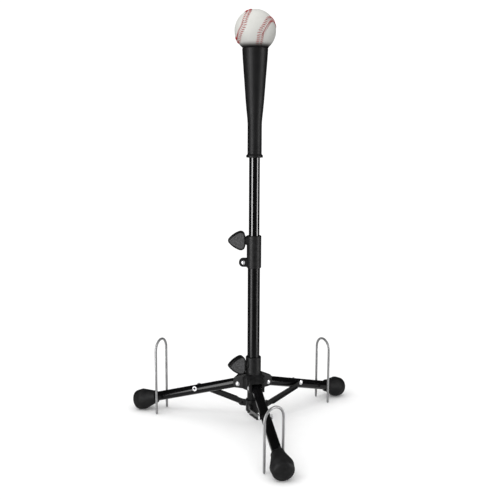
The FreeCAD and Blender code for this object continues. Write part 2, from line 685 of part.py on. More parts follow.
# ---- assembly -----------------------------------------------------------------
def all_parts():
    parts = {}
    parts.update(post_parts())
    parts.update(ball_parts())
    parts["height_collar"] = height_collar()
    parts.update(pinch_parts())
    parts["leg_crown"] = leg_crown()
    parts["crown_rivets"] = crown_rivets()
    parts["bottom_bracket"] = bottom_bracket()
    parts["bracket_rivets"] = bracket_rivets()
    upper = (COLLAR_SCREW_Z, UPPER_TUBE_R, COLLAR_NECK_END, COLLAR_AZIMUTH)
    lower = (CROWN_SCREW_Z, LOWER_TUBE_R, CROWN_NECK_END, CROWN_KNOB_AZIMUTH)
    parts.update(clamp_parts("upper", *upper))
    parts.update(clamp_parts("lower", *lower))
    for name, azimuth in LEG_AZIMUTHS.items():
        parts.update(leg_set(name, azimuth))
    return parts


def main():
    os.makedirs("parts", exist_ok=True)
    for name, shape in all_parts().items():
        if not shape.isValid():
            raise ValueError(f"{name} is not a valid shape")
        shape.exportStep(f"parts/{name}.step")
        print(f"{name}: {len(shape.Solids)} solid(s), {shape.Volume / 1000:.2f} cm3")


main()
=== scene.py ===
import bmesh
import bpy
import json
import math

from mathutils import Matrix, Vector
from mathutils.kdtree import KDTree


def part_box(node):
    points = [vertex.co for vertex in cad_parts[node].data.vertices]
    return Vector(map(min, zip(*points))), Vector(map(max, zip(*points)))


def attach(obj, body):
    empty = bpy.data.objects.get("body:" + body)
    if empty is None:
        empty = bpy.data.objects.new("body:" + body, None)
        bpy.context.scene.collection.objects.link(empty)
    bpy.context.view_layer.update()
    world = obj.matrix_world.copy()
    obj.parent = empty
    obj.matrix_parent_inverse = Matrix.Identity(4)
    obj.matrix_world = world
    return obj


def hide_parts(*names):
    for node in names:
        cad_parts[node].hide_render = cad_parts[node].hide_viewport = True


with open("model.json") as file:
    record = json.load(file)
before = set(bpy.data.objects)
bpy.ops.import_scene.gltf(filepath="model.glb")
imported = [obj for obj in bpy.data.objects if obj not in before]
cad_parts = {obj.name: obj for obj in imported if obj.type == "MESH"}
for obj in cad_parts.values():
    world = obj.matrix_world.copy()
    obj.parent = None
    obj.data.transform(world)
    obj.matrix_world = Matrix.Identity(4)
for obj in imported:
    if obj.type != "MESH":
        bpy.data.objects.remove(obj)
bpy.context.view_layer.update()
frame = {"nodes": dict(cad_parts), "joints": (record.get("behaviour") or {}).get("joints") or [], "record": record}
NODES = frame["nodes"]
RECORD = frame["record"]
JOINTS = {j["name"]: j for j in frame["joints"]}
BODY_OF = {n: b for b, names in RECORD["behaviour"]["bodies"].items() for n in names}
LEGS = ("left", "right", "front")
UP = Vector((0, 0, 1))
MM = 0.001

# The direction from which the tee is seen, about the post.
VIEW_AZIMUTH = math.radians(-11.739)

# The legs, as the CAD has them: distance from the post's axis and height.
CROWN_PIVOT = (25.5 * MM, 78.0 * MM)
FOOT_CENTRE = (226.0 * MM, 19.3 * MM)
LEG_R = 8.8 * MM
TUBE_WALL = 1.2 * MM


# ---- small geometry helpers -------------------------------------------------
def pivot(joint):
    return Vector(JOINTS[joint]["pos_m"])


def add_object(name, data):
    obj = bpy.data.objects.new(name, data)
    bpy.context.scene.collection.objects.link(obj)
    return obj


def new_nodes(block):
    """Turns on a material's or world's nodes; returns them and the call that links them."""
    block.use_nodes = True
    return block.node_tree.nodes, block.node_tree.links.new


def smooth_by_angle(mesh, degrees=35.0):
    bm = bmesh.new()
    bm.from_mesh(mesh)
    limit = math.radians(degrees)
    for face in bm.faces:
        face.smooth = True
    for edge in bm.edges:
        edge.smooth = edge.is_boundary or edge.calc_face_angle(0.0) < limit
    bm.to_mesh(mesh)
    bm.free()


def piece(name, verts, faces, finish, sharp=35.0):
    mesh = bpy.data.meshes.new(name)
    mesh.from_pydata([tuple(v) for v in verts], [], faces)
    mesh.validate()
    bm = bmesh.new()
    bm.from_mesh(mesh)
    bmesh.ops.recalc_face_normals(bm, faces=bm.faces)
    bm.to_mesh(mesh)
    bm.free()
    smooth_by_angle(mesh, sharp)
    mesh.materials.append(finish)
    return add_object(name, mesh)


def place(obj, body, slot, *nodes):
    """Makes a piece ride on a body and may replace CAD nodes; the slot argument is not used."""
    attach(obj, body)
    if nodes:
        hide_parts(*nodes)
    return obj


def filleted(points, closed=False, steps=4):
    """Rounds the corners of a 2-D outline. Each point is (x, y) or (x, y, radius)."""
    flat = [(Vector(p[:2]), p[2] if len(p) > 2 else 0.0) for p in points]
    out = []
    count = len(flat)
    for i, (p, radius) in enumerate(flat):
        inner = closed or 0 < i < count - 1
        if radius <= 0 or not inner:
            out.append(p)
            continue
        a = flat[i - 1][0] - p
        b = flat[(i + 1) % count][0] - p
        reach = min(a.length, b.length) * 0.49
        half = a.angle(b) / 2
        setback = min(radius / max(math.tan(half), 1e-6), reach)
        start = p + a.normalized() * setback
        end = p + b.normalized() * setback
        for k in range(steps + 1):
            t = k / steps
            out.append(start * (1 - t) ** 2 + p * 2 * t * (1 - t) + end * t * t)
    return out


def frame_about(axis):
    """A unit axis and two directions square to it."""
    axis = Vector(axis).normalized()
    hint = UP if abs(axis.z) < 0.9 else Vector((1, 0, 0))
    u = (hint - axis * hint.dot(axis)).normalized()
    return axis, u, axis.cross(u)


def lathe(name, outline, start, axis, finish, segments=72, closed=False, sharp=35.0):
    """Turns an outline of (distance along, radius) points about an axis."""
    axis, u, v = frame_about(axis)
    rings = []
    verts = []
    for along, radius in outline:
        base = start + axis * along
        if radius < 1e-7:
            rings.append([len(verts)])
            verts.append(base)
            continue
        ring = []
        for k in range(segments):
            angle = 2 * math.pi * k / segments
            ring.append(len(verts))
            verts.append(base + (u * math.cos(angle) + v * math.sin(angle)) * radius)
        rings.append(ring)
    pairs = list(zip(rings, rings[1:])) + ([(rings[-1], rings[0])] if closed else [])
    faces = []
    for a, b in pairs:
        for k in range(segments):
            n = (k + 1) % segments
            if len(a) == 1 and len(b) == 1:
                continue
            if len(a) == 1:
                faces.append((a[0], b[k], b[n]))
            elif len(b) == 1:
                faces.append((a[k], b[0], a[n]))
            else:
                faces.append((a[k], b[k], b[n], a[n]))
    return piece(name, verts, faces, finish, sharp)


def pipe(low, high, outer, inner, fillet=0.4 * MM):
    """The outline of a tube with rounded end edges."""
    corners = [(low, inner, fillet), (low, outer, fillet), (high, outer, fillet), (high, inner, fillet)]
    return filleted(corners, closed=True)


def bevelled(name, node, finish, width, segments=2, sharp=30.0):
    """A copy of a CAD piece with its flat faces joined up and its edges rounded."""
    bm = bmesh.new()
    bm.from_mesh(NODES[node].data)
    bmesh.ops.remove_doubles(bm, verts=bm.verts, dist=1e-6)
    bmesh.ops.dissolve_limit(
        bm, angle_limit=math.radians(0.6), verts=bm.verts, edges=bm.edges, use_dissolve_boundaries=False
    )
    mesh = bpy.data.meshes.new(name)
    bm.to_mesh(mesh)
    bm.free()
    mesh.materials.clear()
    mesh.materials.append(finish)
    obj = add_object(name, mesh)
    bevel = obj.modifiers.new("edge_round", "BEVEL")
    bevel.width = width
    bevel.segments = segments
    bevel.limit_method = "ANGLE"
    bevel.angle_limit = math.radians(sharp)
    bevel.use_clamp_overlap = True
    bevel.harden_normals = False
    smooth_by_angle(mesh, 40.0)
    return obj


def sweep(name, path, radii, finish, segments=20):
    """A round wire along a path, with closed ends."""
    verts = []
    rings = []
    _, u, _ = frame_about(path[1] - path[0])
    for i, p in enumerate(path):
        ahead = path[min(i + 1, len(path) - 1)] - path[max(i - 1, 0)]
        tangent = ahead.normalized()
        u = (u - tangent * u.dot(tangent)).normalized()
        v = tangent.cross(u)
        ring = []
        for k in range(segments):
            angle = 2 * math.pi * k / segments
            ring.append(len(verts))
            verts.append(p + (u * math.cos(angle) + v * math.sin(angle)) * radii[i])
        rings.append(ring)
    faces = []
    for a, b in zip(rings, rings[1:]):
        for k in range(segments):
            n = (k + 1) % segments
            faces.append((a[k], b[k], b[n], a[n]))
    faces.append(tuple(rings[0]))
    faces.append(tuple(reversed(rings[-1])))
    return piece(name, verts, faces, finish, 50.0)


# ---- materials ----------------------------------------------------------------
def surface(name, base, rough, metal=0.0, specular=0.5, tint=0.12, tint_scale=60.0,
            rough_spread=0.06, rough_scale=180.0, grain=0.00004, grain_scale=1500.0,
            stretch=(1, 1, 1), pebble=0.0, pebble_scale=700.0):
    """A shader whose colour, roughness and relief all vary over the surface."""
    mat = bpy.data.materials.new(name)
    nodes, link = new_nodes(mat)
    shader = nodes["Principled BSDF"]
    shader.inputs["Metallic"].default_value = metal
    shader.inputs["Specular IOR Level"].default_value = specular
    place_node = nodes.new("ShaderNodeTexCoord")
    mapping = nodes.new("ShaderNodeMapping")
    mapping.inputs["Scale"].default_value = stretch
    link(place_node.outputs["Object"], mapping.inputs["Vector"])

    def noise_node(scale, detail=3.0, roughness=0.55):
        n = nodes.new("ShaderNodeTexNoise")
        n.inputs["Scale"].default_value = scale
        n.inputs["Detail"].default_value = detail
        n.inputs["Roughness"].default_value = roughness
        link(mapping.outputs["Vector"], n.inputs["Vector"])
        return n

    shade = noise_node(tint_scale)
    ramp = nodes.new("ShaderNodeValToRGB")
    ramp.color_ramp.elements[0].position = 0.3
    ramp.color_ramp.elements[1].position = 0.7
    ramp.color_ramp.elements[0].color = (*[c * (1 - tint) for c in base], 1)
    ramp.color_ramp.elements[1].color = (*[min(c * (1 + tint), 1) for c in base], 1)
    link(shade.outputs["Fac"], ramp.inputs["Fac"])
    link(ramp.outputs["Color"], shader.inputs["Base Color"])

    wear = noise_node(rough_scale)
    spread = nodes.new("ShaderNodeMapRange")
    spread.inputs["From Min"].default_value = 0.3
    spread.inputs["From Max"].default_value = 0.7
    spread.inputs["To Min"].default_value = max(rough - rough_spread, 0.02)
    spread.inputs["To Max"].default_value = min(rough + rough_spread, 1.0)
    link(wear.outputs["Fac"], spread.inputs["Value"])
    link(spread.outputs["Result"], shader.inputs["Roughness"])

    def relief(height, distance):
        bump = nodes.new("ShaderNodeBump")
        bump.inputs["Strength"].default_value = 1.0
        bump.inputs["Distance"].default_value = distance
        link(height, bump.inputs["Height"])
        return bump

    last = relief(noise_node(grain_scale, 4.0, 0.6).outputs["Fac"], grain)
    if pebble:
        cells = nodes.new("ShaderNodeTexVoronoi")
        cells.feature = "SMOOTH_F1"
        cells.inputs["Scale"].default_value = pebble_scale
        link(mapping.outputs["Vector"], cells.inputs["Vector"])
        second = relief(cells.outputs["Distance"], pebble)
        link(last.outputs["Normal"], second.inputs["Normal"])
        last = second
    link(last.outputs["Normal"], shader.inputs["Normal"])
    return mat


GLOSS = surface("enamel_gloss", (0.0022, 0.0022, 0.0024), 0.14, specular=0.5, rough_spread=0.015,
                rough_scale=90, grain=0.0000012, grain_scale=240, tint=0.2)
SATIN = surface("enamel_satin", (0.0026, 0.0026, 0.0028), 0.3, specular=0.13, rough_spread=0.02,
                rough_scale=120, grain=0.0000015, grain_scale=420, tint=0.2)
LEG_BLACK = surface("enamel_leg", (0.0026, 0.0026, 0.0028), 0.14, specular=0.13, rough_spread=0.02,
                    rough_scale=120, grain=0.0000015, grain_scale=420, tint=0.2)
MOULDED = surface("moulded_plastic", (0.0085, 0.0085, 0.0088), 0.46, specular=0.105, rough_spread=0.08,
                  rough_scale=220, grain=0.00006, grain_scale=1500, tint=0.45, tint_scale=150)
BRACKET = surface("bracket_plastic", (0.0045, 0.0045, 0.0047), 0.38, specular=0.13, rough_spread=0.06,
                  rough_scale=220, grain=0.00004, grain_scale=1500, tint=0.3, tint_scale=150)
KNOB_EDGE = surface("knob_plastic", (0.0045, 0.0045, 0.0047), 0.36, specular=0.1, rough_spread=0.06,
                    grain=0.00003, grain_scale=1500, tint=0.2)
KNOB_FACE = surface("knob_grip", (0.062, 0.062, 0.0635), 0.6, specular=0.14, rough_spread=0.08,
                    rough_scale=500, grain=0.00035, grain_scale=700, tint=0.5, tint_scale=420)
RUBBER = surface("holder_rubber", (0.0085, 0.0085, 0.0088), 0.47, specular=0.085, rough_spread=0.04,
                 rough_scale=90, grain=0.00001, grain_scale=2200, tint=0.15)
FOOT = surface("foot_rubber_matte", (0.0105, 0.0105, 0.0108), 0.55, specular=0.06, rough_spread=0.08,
               rough_scale=160, grain=0.00006, grain_scale=1300, tint=0.3, tint_scale=90)
ZINC = surface("zinc_plate", (0.60, 0.60, 0.61), 0.36, metal=0.45, rough_spread=0.08, rough_scale=600,
               grain=0.00002, grain_scale=1600, tint=0.08, tint_scale=300)
WIRE = surface("galvanised_wire", (0.21, 0.21, 0.213), 0.42, metal=0.4, rough_spread=0.1, rough_scale=500,
               grain=0.00004, grain_scale=700, stretch=(1, 1, 0.15), tint=0.2, tint_scale=420)
LEATHER = surface("ball_leather", (0.57, 0.568, 0.54), 0.5, specular=0.1, rough_spread=0.07,
                  rough_scale=260, grain=0.00003, grain_scale=1600, tint=0.03, tint_scale=45,
                  pebble=0.00006, pebble_scale=620)
THREAD = surface("red_thread", (0.36, 0.012, 0.014), 0.7, specular=0.05, rough_spread=0.08,
                 rough_scale=1500, grain=0.0001, grain_scale=3600, tint=0.25, tint_scale=700)
YARN = surface("wound_yarn", (0.55, 0.52, 0.48), 0.85, specular=0.2, grain=0.0003, grain_scale=900,
               stretch=(1, 1, 6), tint=0.2, tint_scale=300)
CORE = surface("core_rubber", (0.30, 0.05, 0.045), 0.6, grain=0.00005, grain_scale=900)


def paint_seat_shade(mat, low, high, dark):
    """Paints shade into a band round a material: near black at the low height, fading out upwards to the high one
    and back to the material's own colour within 7 mm below, standing in for the shadow where the ball sits in the
    rubber rim.
    """
    nodes, link = new_nodes(mat)
    base = nodes["Principled BSDF"].inputs["Base Color"]
    old = base.links[0].from_socket
    where = nodes.new("ShaderNodeTexCoord")
    split = nodes.new("ShaderNodeSeparateXYZ")
    link(where.outputs["Object"], split.inputs["Vector"])
    unshaded_share = nodes.new("ShaderNodeMath")
    unshaded_share.operation = "MAXIMUM"
    above = (low, high)
    below = (low - 3 * MM, low - 7 * MM)
    for k, (start, end) in enumerate((above, below)):
        fade = nodes.new("ShaderNodeMapRange")
        fade.interpolation_type = "SMOOTHERSTEP"
        fade.inputs["From Min"].default_value = start
        fade.inputs["From Max"].default_value = end
        link(split.outputs["Z"], fade.inputs["Value"])
        link(fade.outputs["Result"], unshaded_share.inputs[k])
    mix = nodes.new("ShaderNodeMix")
    mix.data_type = "RGBA"
    mix.inputs["A"].default_value = (*dark, 1)
    link(unshaded_share.outputs["Value"], mix.inputs["Factor"])
    link(old, mix.inputs["B"])
    link(mix.outputs["Result"], base)


# Painted shade: the ball's leather and thread turn near black just above the holder's rim, in place of the shadow
# there.
PAINTED_SEAT_SHADE = (0.012, 0.012, 0.012)
SEAT_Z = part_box("ball_holder")[1].z
for ball_finish in (LEATHER, THREAD):
    paint_seat_shade(ball_finish, SEAT_Z + 0.5 * MM, SEAT_Z + 11 * MM, PAINTED_SEAT_SHADE)


# ---- post -----------------------------------------------------------------------
def tube_piece(node, finish):
    low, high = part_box(node)
    radius = (high.x - low.x) / 2
    outline = pipe(low.z, high.z, radius, radius - TUBE_WALL)
    obj = lathe(node + "_looks", outline, Vector(), UP, finish, 96, closed=True)
    return place(obj, BODY_OF[node], "black_enamel", node)


tube_piece("upper_tube", GLOSS)
tube_piece("lower_tube", SATIN)


# ---- ball holder ------------------------------------------------------------------
def holder_piece():
    """The rubber cone. Its wall follows the CAD node's own outline, ring by ring."""
    node = "ball_holder"
    low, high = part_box(node)
    spots = [(v.co.z, math.hypot(v.co.x, v.co.y)) for v in NODES[node].data.vertices]
    top_r = max(r for z, r in spots if z > high.z - 4 * MM)
    sleeve_r = 12.45 * MM
    sleeve_top = low.z + 54.4 * MM

    def near_wall(z, r):
        share = max((z - sleeve_top) / (high.z - sleeve_top), 0.0)
        return r > sleeve_r + (top_r - sleeve_r) * share - 1.2 * MM

    outside = sorted({round(z, 5): r for z, r in spots if near_wall(z, r)}.items())
    inside = sorted((z, r) for z, r in spots if not near_wall(z, r) or z < low.z + MM)

    def radius_at(table, z):
        for (z0, r0), (z1, r1) in zip(table, table[1:]):
            if z0 <= z <= z1:
                return r0 + (r1 - r0) * (z - z0) / max(z1 - z0, 1e-9)
        return table[-1][1]

    lip = max(r for z, r in outside if z < low.z + 4 * MM)
    sleeve = min(r for z, r in outside if z < low.z + 54 * MM)
    rim_z = high.z
    bore = min(r for z, r in inside if z < low.z + 2 * MM)
    outline = filleted(
        [
            (low.z, bore, 0.3 * MM),
            (low.z, lip, 1.2 * MM),
            (low.z + 3.6 * MM, lip, 1.4 * MM),
            (low.z + 6.0 * MM, sleeve, 2.0 * MM),
            (low.z + 20.0 * MM, sleeve),
        ]
    )
    steps = 46
    cone_from = low.z + 22.0 * MM
    cone_to = rim_z - 3.0 * MM
    for k in range(steps + 1):
        z = cone_from + (cone_to - cone_from) * k / steps
        outline.append(Vector((z, radius_at(outside, z))))
    rim_r = max(r for z, r in outside if z > rim_z - 4 * MM)
    seat_low = rim_z - 2.8 * MM
    floor_top = low.z + 34.5 * MM
    floor_low = low.z + 29.5 * MM
    vent = 2.6 * MM
    outline += filleted(
        [
            (rim_z - 2.6 * MM, rim_r - 0.02 * MM),
            (rim_z - 0.02 * MM, rim_r, 1.3 * MM),
            (rim_z - 0.5 * MM, rim_r - 1.7 * MM, 0.6 * MM),
            (seat_low, 18.5 * MM, 0.4 * MM),
            (seat_low - 8.0 * MM, 18.4 * MM),
            (low.z + 62 * MM, 9.7 * MM, 3 * MM),
            (floor_top, 8.6 * MM, 0.6 * MM),
            (floor_top, vent, 0.5 * MM),
            (floor_low, vent, 0.5 * MM),
            (floor_low, bore),
        ]
    )
    obj = lathe("holder_cone", outline, Vector(), UP, RUBBER, 128, closed=True, sharp=50)
    return place(obj, BODY_OF[node], "black_rubber", node)


holder_piece()


# ---- baseball ----------------------------------------------------------------------
# The seam's turn on the ball, as a rotation vector, and the ball's tilt towards the viewer.
SEAM_TURN = Vector((-1.542, -0.8981, -1.0187))
BALL_TILT = math.radians(7.44)
SEAM_SAMPLES = 4000
STITCHES = 108
SPOTS_PER_STITCH = 12
STITCH_STEPS = 6
STITCH_SIDES = 6
STITCH_R = 0.52 * MM


def seam_point(t):
    """A point of the unit ball's seam, t from 0 to 1 once round."""
    t = t * 4 * math.pi
    a = math.pi / 2 - (math.pi / 2 - 0.52) * math.cos(t) - 0.0418 * math.cos(3 * t)
    b = t / 2 + 0.4155 * math.sin(2 * t) - 0.0369 * math.sin(4 * t)
    return Vector((math.sin(a) * math.cos(b), math.sin(a) * math.sin(b), math.cos(a)))


def seam_points(count):
    """Points evenly spaced along the seam, turned to face as the ball sits."""
    turn = Matrix.Rotation(SEAM_TURN.length, 3, SEAM_TURN.normalized())
    tilt = Matrix.Rotation(BALL_TILT, 3, "X")
    face = Matrix.Rotation(VIEW_AZIMUTH, 3, "Z")
    rough = [seam_point(k / SEAM_SAMPLES) for k in range(SEAM_SAMPLES + 1)]
    lengths = [0.0]
    for a, b in zip(rough, rough[1:]):
        lengths.append(lengths[-1] + (b - a).length)
    out = []
    i = 0
    for k in range(count):
        want = lengths[-1] * k / count
        while lengths[i + 1] < want:
            i += 1
        out.append(face @ tilt @ turn @ rough[i])
    return out


def ball_hide(middle, radius):
    """The leather cover, with a groove along the seam and a welt on each side of it."""
    seam = seam_points(1600)
    tree = KDTree(len(seam))
    for i, p in enumerate(seam):
        tree.insert(p * radius, i)
    tree.balance()

    bm = bmesh.new()
    bmesh.ops.create_icosphere(bm, subdivisions=7, radius=radius)
    for v in bm.verts:
        n = v.co.normalized()
        _, _, gap = tree.find(n * radius)
        gap /= MM
        welt = 0.34 * math.exp(-(((gap - 1.5) / 1.1) ** 2))
        groove = -0.55 * math.exp(-((gap / 0.45) ** 2))
        lift = (welt + groove - 0.15) * MM
        v.co = n * (radius + lift) + middle
    mesh = bpy.data.meshes.new("ball_hide")
    bm.to_mesh(mesh)
    bm.free()
    smooth_by_angle(mesh, 80)
    mesh.materials.append(LEATHER)
    hide = add_object("ball_hide", mesh)
    place(hide, BODY_OF["ball_cover"], "ball_leather", "ball_cover")


def stitch_path(p, ahead, sign, middle, radius):
    """One stitch's line: out from the seam and forward along it, dipping in at its far end."""
    side = p.cross(ahead).normalized()
    path = []
    for k in range(STITCH_STEPS + 1):
        t = k / STITCH_STEPS
        out = (0.6 + 5.5 * t) * sign * MM
        forward = 3.0 * t * MM
        lift = (0.5 + 0.3 * math.sin(math.pi * t) - 0.55 * t ** 6) * MM
        spot = p * radius + side * out + ahead * forward
        path.append(spot.normalized() * (radius + lift - 0.25 * MM) + middle)
    return path


def ball_stitches(middle, radius):
    """Two rows of flattened thread stitches, one on each side of the seam."""
    spots = seam_points(STITCHES * SPOTS_PER_STITCH)
    half_way = SPOTS_PER_STITCH // 2
    verts = []
    faces = []
    for s in range(STITCHES):
        i = s * SPOTS_PER_STITCH
        ahead = (spots[i + half_way] - spots[i - half_way]).normalized()
        for sign in (-1, 1):
            path = stitch_path(spots[i], ahead, sign, middle, radius)
            base = len(verts)
            for k, q in enumerate(path):
                along = (path[min(k + 1, STITCH_STEPS)] - path[max(k - 1, 0)]).normalized()
                n = (q - middle).normalized()
                w = along.cross(n)
                thick = STITCH_R * (1.0 if 0 < k < STITCH_STEPS else 0.6)
                for m in range(STITCH_SIDES):
                    angle = 2 * math.pi * m / STITCH_SIDES
                    verts.append(q + (w * math.cos(angle) + n * math.sin(angle) * 0.7) * thick)
            for k in range(STITCH_STEPS):
                for m in range(STITCH_SIDES):
                    a = base + k * STITCH_SIDES + m
                    b = base + k * STITCH_SIDES + (m + 1) % STITCH_SIDES
                    faces.append((a, b, b + STITCH_SIDES, a + STITCH_SIDES))
            last = base + STITCH_STEPS * STITCH_SIDES
            faces.append(tuple(range(base, base + STITCH_SIDES)))
            faces.append(tuple(reversed(range(last, last + STITCH_SIDES))))
    thread = piece("ball_stitches", verts, faces, THREAD, 60)
    place(thread, BODY_OF["ball_cover"], "ball_leather")


def ball_pieces():
    low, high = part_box("ball_cover")
    middle = (low + high) / 2
    radius = (high.z - low.z) / 2
    ball_hide(middle, radius)
    ball_stitches(middle, radius)


ball_pieces()


# ---- wing knobs -----------------------------------------------------------------------
def hull(points):
    """The corners of the convex outline round some (x, y) points."""
    points = sorted(set(points))
    chains = []
    for run in (points, points[::-1]):
        chain = []
        for p in run:
            while len(chain) > 1:
                (ax, ay), (bx, by) = chain[-2], chain[-1]
                if (bx - ax) * (p[1] - ay) - (by - ay) * (p[0] - ax) > 0:
                    break
                chain.pop()
            chain.append(p)
        chains.append(chain[:-1])
    return chains[0] + chains[1]


def even_outline(points, count):
    """Points evenly spaced round a closed outline."""
    points = [Vector(p) for p in points]
    loop = points + [points[0]]
    total = sum((b - a).length for a, b in zip(loop, loop[1:]))
    out = []
    i, passed = 0, 0.0
    for k in range(count):
        want = total * k / count
        while passed + (loop[i + 1] - loop[i]).length < want:
            passed += (loop[i + 1] - loop[i]).length
            i += 1
        step = (loop[i + 1] - loop[i]).length
        out.append(loop[i].lerp(loop[i + 1], (want - passed) / max(step, 1e-9)))
    return out


def knob_pieces(which):
    """A wing knob: the rounded wing, a grip face let into each side, and the hub."""
    node = which + "_knob"
    low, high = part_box(node)
    radial = Vector((low.x + high.x, low.y + high.y, 0)).normalized()
    middle_z = pivot(which + "_knob_turn").z
    base_point = UP * middle_z
    side = UP.cross(radial)
    spots = []
    for v in NODES[node].data.vertices:
        p = v.co - base_point
        spots.append((p.dot(radial), p.dot(side), p.z))
    start = min(s[0] for s in spots)
    half = max(abs(s[1]) for s in spots if s[0] > start + 14 * MM)
    plate_from = start + 0.4 * MM
    outline = hull([(s[0], s[2]) for s in spots if s[0] > plate_from])
    count = 120
    loop = even_outline(outline, count)
    mid = sum(loop, Vector((0, 0))) / count
    normals = []
    for k in range(count):
        t = loop[(k + 1) % count] - loop[k - 1]
        n = Vector((t.y, -t.x)).normalized()
        normals.append(n if n.dot(loop[k] - mid) > 0 else -n)

    def ring(inset, height):
        out = []
        for k in range(count):
            q = loop[k] - normals[k] * inset
            out.append(radial * q.x + side * height + UP * (q.y + middle_z))
        return out

    def stack(rings):
        verts = [p for r in rings for p in r]
        faces = []
        for a in range(len(rings) - 1):
            for k in range(count):
                n = (k + 1) % count
                faces.append((a * count + k, a * count + n, (a + 1) * count + n, (a + 1) * count + k))
        return verts, faces

    rim = 2.2 * MM
    rim_steps = 6
    rings = []
    for sign in (1, -1):
        bank = []
        for k in range(rim_steps + 1):
            angle = math.pi / 2 * k / rim_steps
            bank.append((rim - rim * math.cos(angle), half - rim + rim * math.sin(angle)))
        bank.append((rim + 0.2 * MM, half - 0.1 * MM))
        bank.append((rim + 0.4 * MM, half - 0.5 * MM))
        bank.append((rim + 1.4 * MM, half - 0.6 * MM))
        bank = [ring(inset, sign * height) for inset, height in bank]
        rings = rings + bank if sign < 0 else bank[::-1]
    verts, faces = stack(rings + rings[:1])
    body = piece(which + "_knob_wing", verts, faces, KNOB_EDGE, 60)
    place(body, BODY_OF[node], "black_plastic", node)

    heart = radial * mid.x + UP * (mid.y + middle_z)
    for label, sign in (("near", 1), ("far", -1)):
        levels = [(rim + 0.3 * MM, 0.8), (rim + 0.5 * MM, 0.42), (rim + 1.6 * MM, 0.25)]
        rings = [ring(inset, sign * (half - down * MM)) for inset, down in levels]
        verts, faces = stack(rings)
        base = verts[-count:]
        for scale in (0.75, 0.5, 0.25):
            level = half - (0.28 + 0.1 * (1 - scale)) * MM
            ring_points = []
            for p in base:
                flat = p - side * p.dot(side)
                ring_points.append(heart + (flat - heart) * scale + side * sign * level)
            offset = len(verts)
            verts += ring_points
            for k in range(count):
                n = (k + 1) % count
                faces.append((offset - count + k, offset - count + n, offset + n, offset + k))
        tip = len(verts)
        verts.append(heart + side * sign * (half - 0.38 * MM))
        for k in range(count):
            n = (k + 1) % count
            faces.append((tip - count + k, tip - count + n, tip))
        faces.append(tuple(reversed(range(count))))
        grip = piece(f"{which}_knob_grip_{label}", verts, faces, KNOB_FACE, 60)
        place(grip, BODY_OF[node], "grey_plastic")

    hub_r = 7.6 * MM
    bore = 3.2 * MM
    hub_outline = filleted(
        [
            (start + 3.6 * MM, 0.0),
            (start + 3.6 * MM, bore),
            (start, bore),
            (start, hub_r - 1.2 * MM, 0.5 * MM),
            (start + 0.9 * MM, hub_r - 0.2 * MM, 0.4 * MM),
            (start + 2.2 * MM, hub_r - 0.5 * MM, 1.0 * MM),
            (start + 3.8 * MM, hub_r - 3.2 * MM, 1.0 * MM),
            (start + 4.6 * MM, 0.0),
        ]
    )
    boss = lathe(which + "_knob_hub", hub_outline, base_point, radial, KNOB_EDGE, 48)
    place(boss, BODY_OF[node], "black_plastic")


for which in ("upper", "lower"):
    knob_pieces(which)


# ---- moulded fittings --------------------------------------------------------------------
FITTINGS = (
    ("height_collar", MOULDED, 0.6 * MM),
    ("leg_crown", MOULDED, 0.9 * MM),
    ("bottom_bracket", BRACKET, 0.6 * MM),
)
for node, finish, width in FITTINGS:
    part = bevelled(node + "_looks", node, finish, width, 3)
    place(part, BODY_OF[node], "black_plastic", node)


# ---- legs ------------------------------------------------------------------------------------
def dome(radius, height, lip=0.25 * MM):
    """The outline of a domed rivet head, from its flat side out."""
    ball = (radius ** 2 + height ** 2) / (2 * height)
    top = math.asin(min(radius / ball, 1.0))
    points = [Vector((0, radius - 0.1 * MM)), Vector((lip * 0.5, radius))]
    for k in range(9):
        angle = top * (1 - k / 8)
        points.append(Vector((height - ball + ball * math.cos(angle), ball * math.sin(angle))))
    points[2].x = max(points[2].x, lip)
    points[-1].y = 0.0
    return points


def leg_side(name):
    """A leg's direction from the post and the direction square to it, both level."""
    spot = pivot(f"strut_{name}_fold")
    turn = Matrix.Rotation(math.atan2(spot.y, spot.x), 3, "Z")
    return turn @ Vector((1, 0, 0)), turn @ Vector((0, 1, 0))


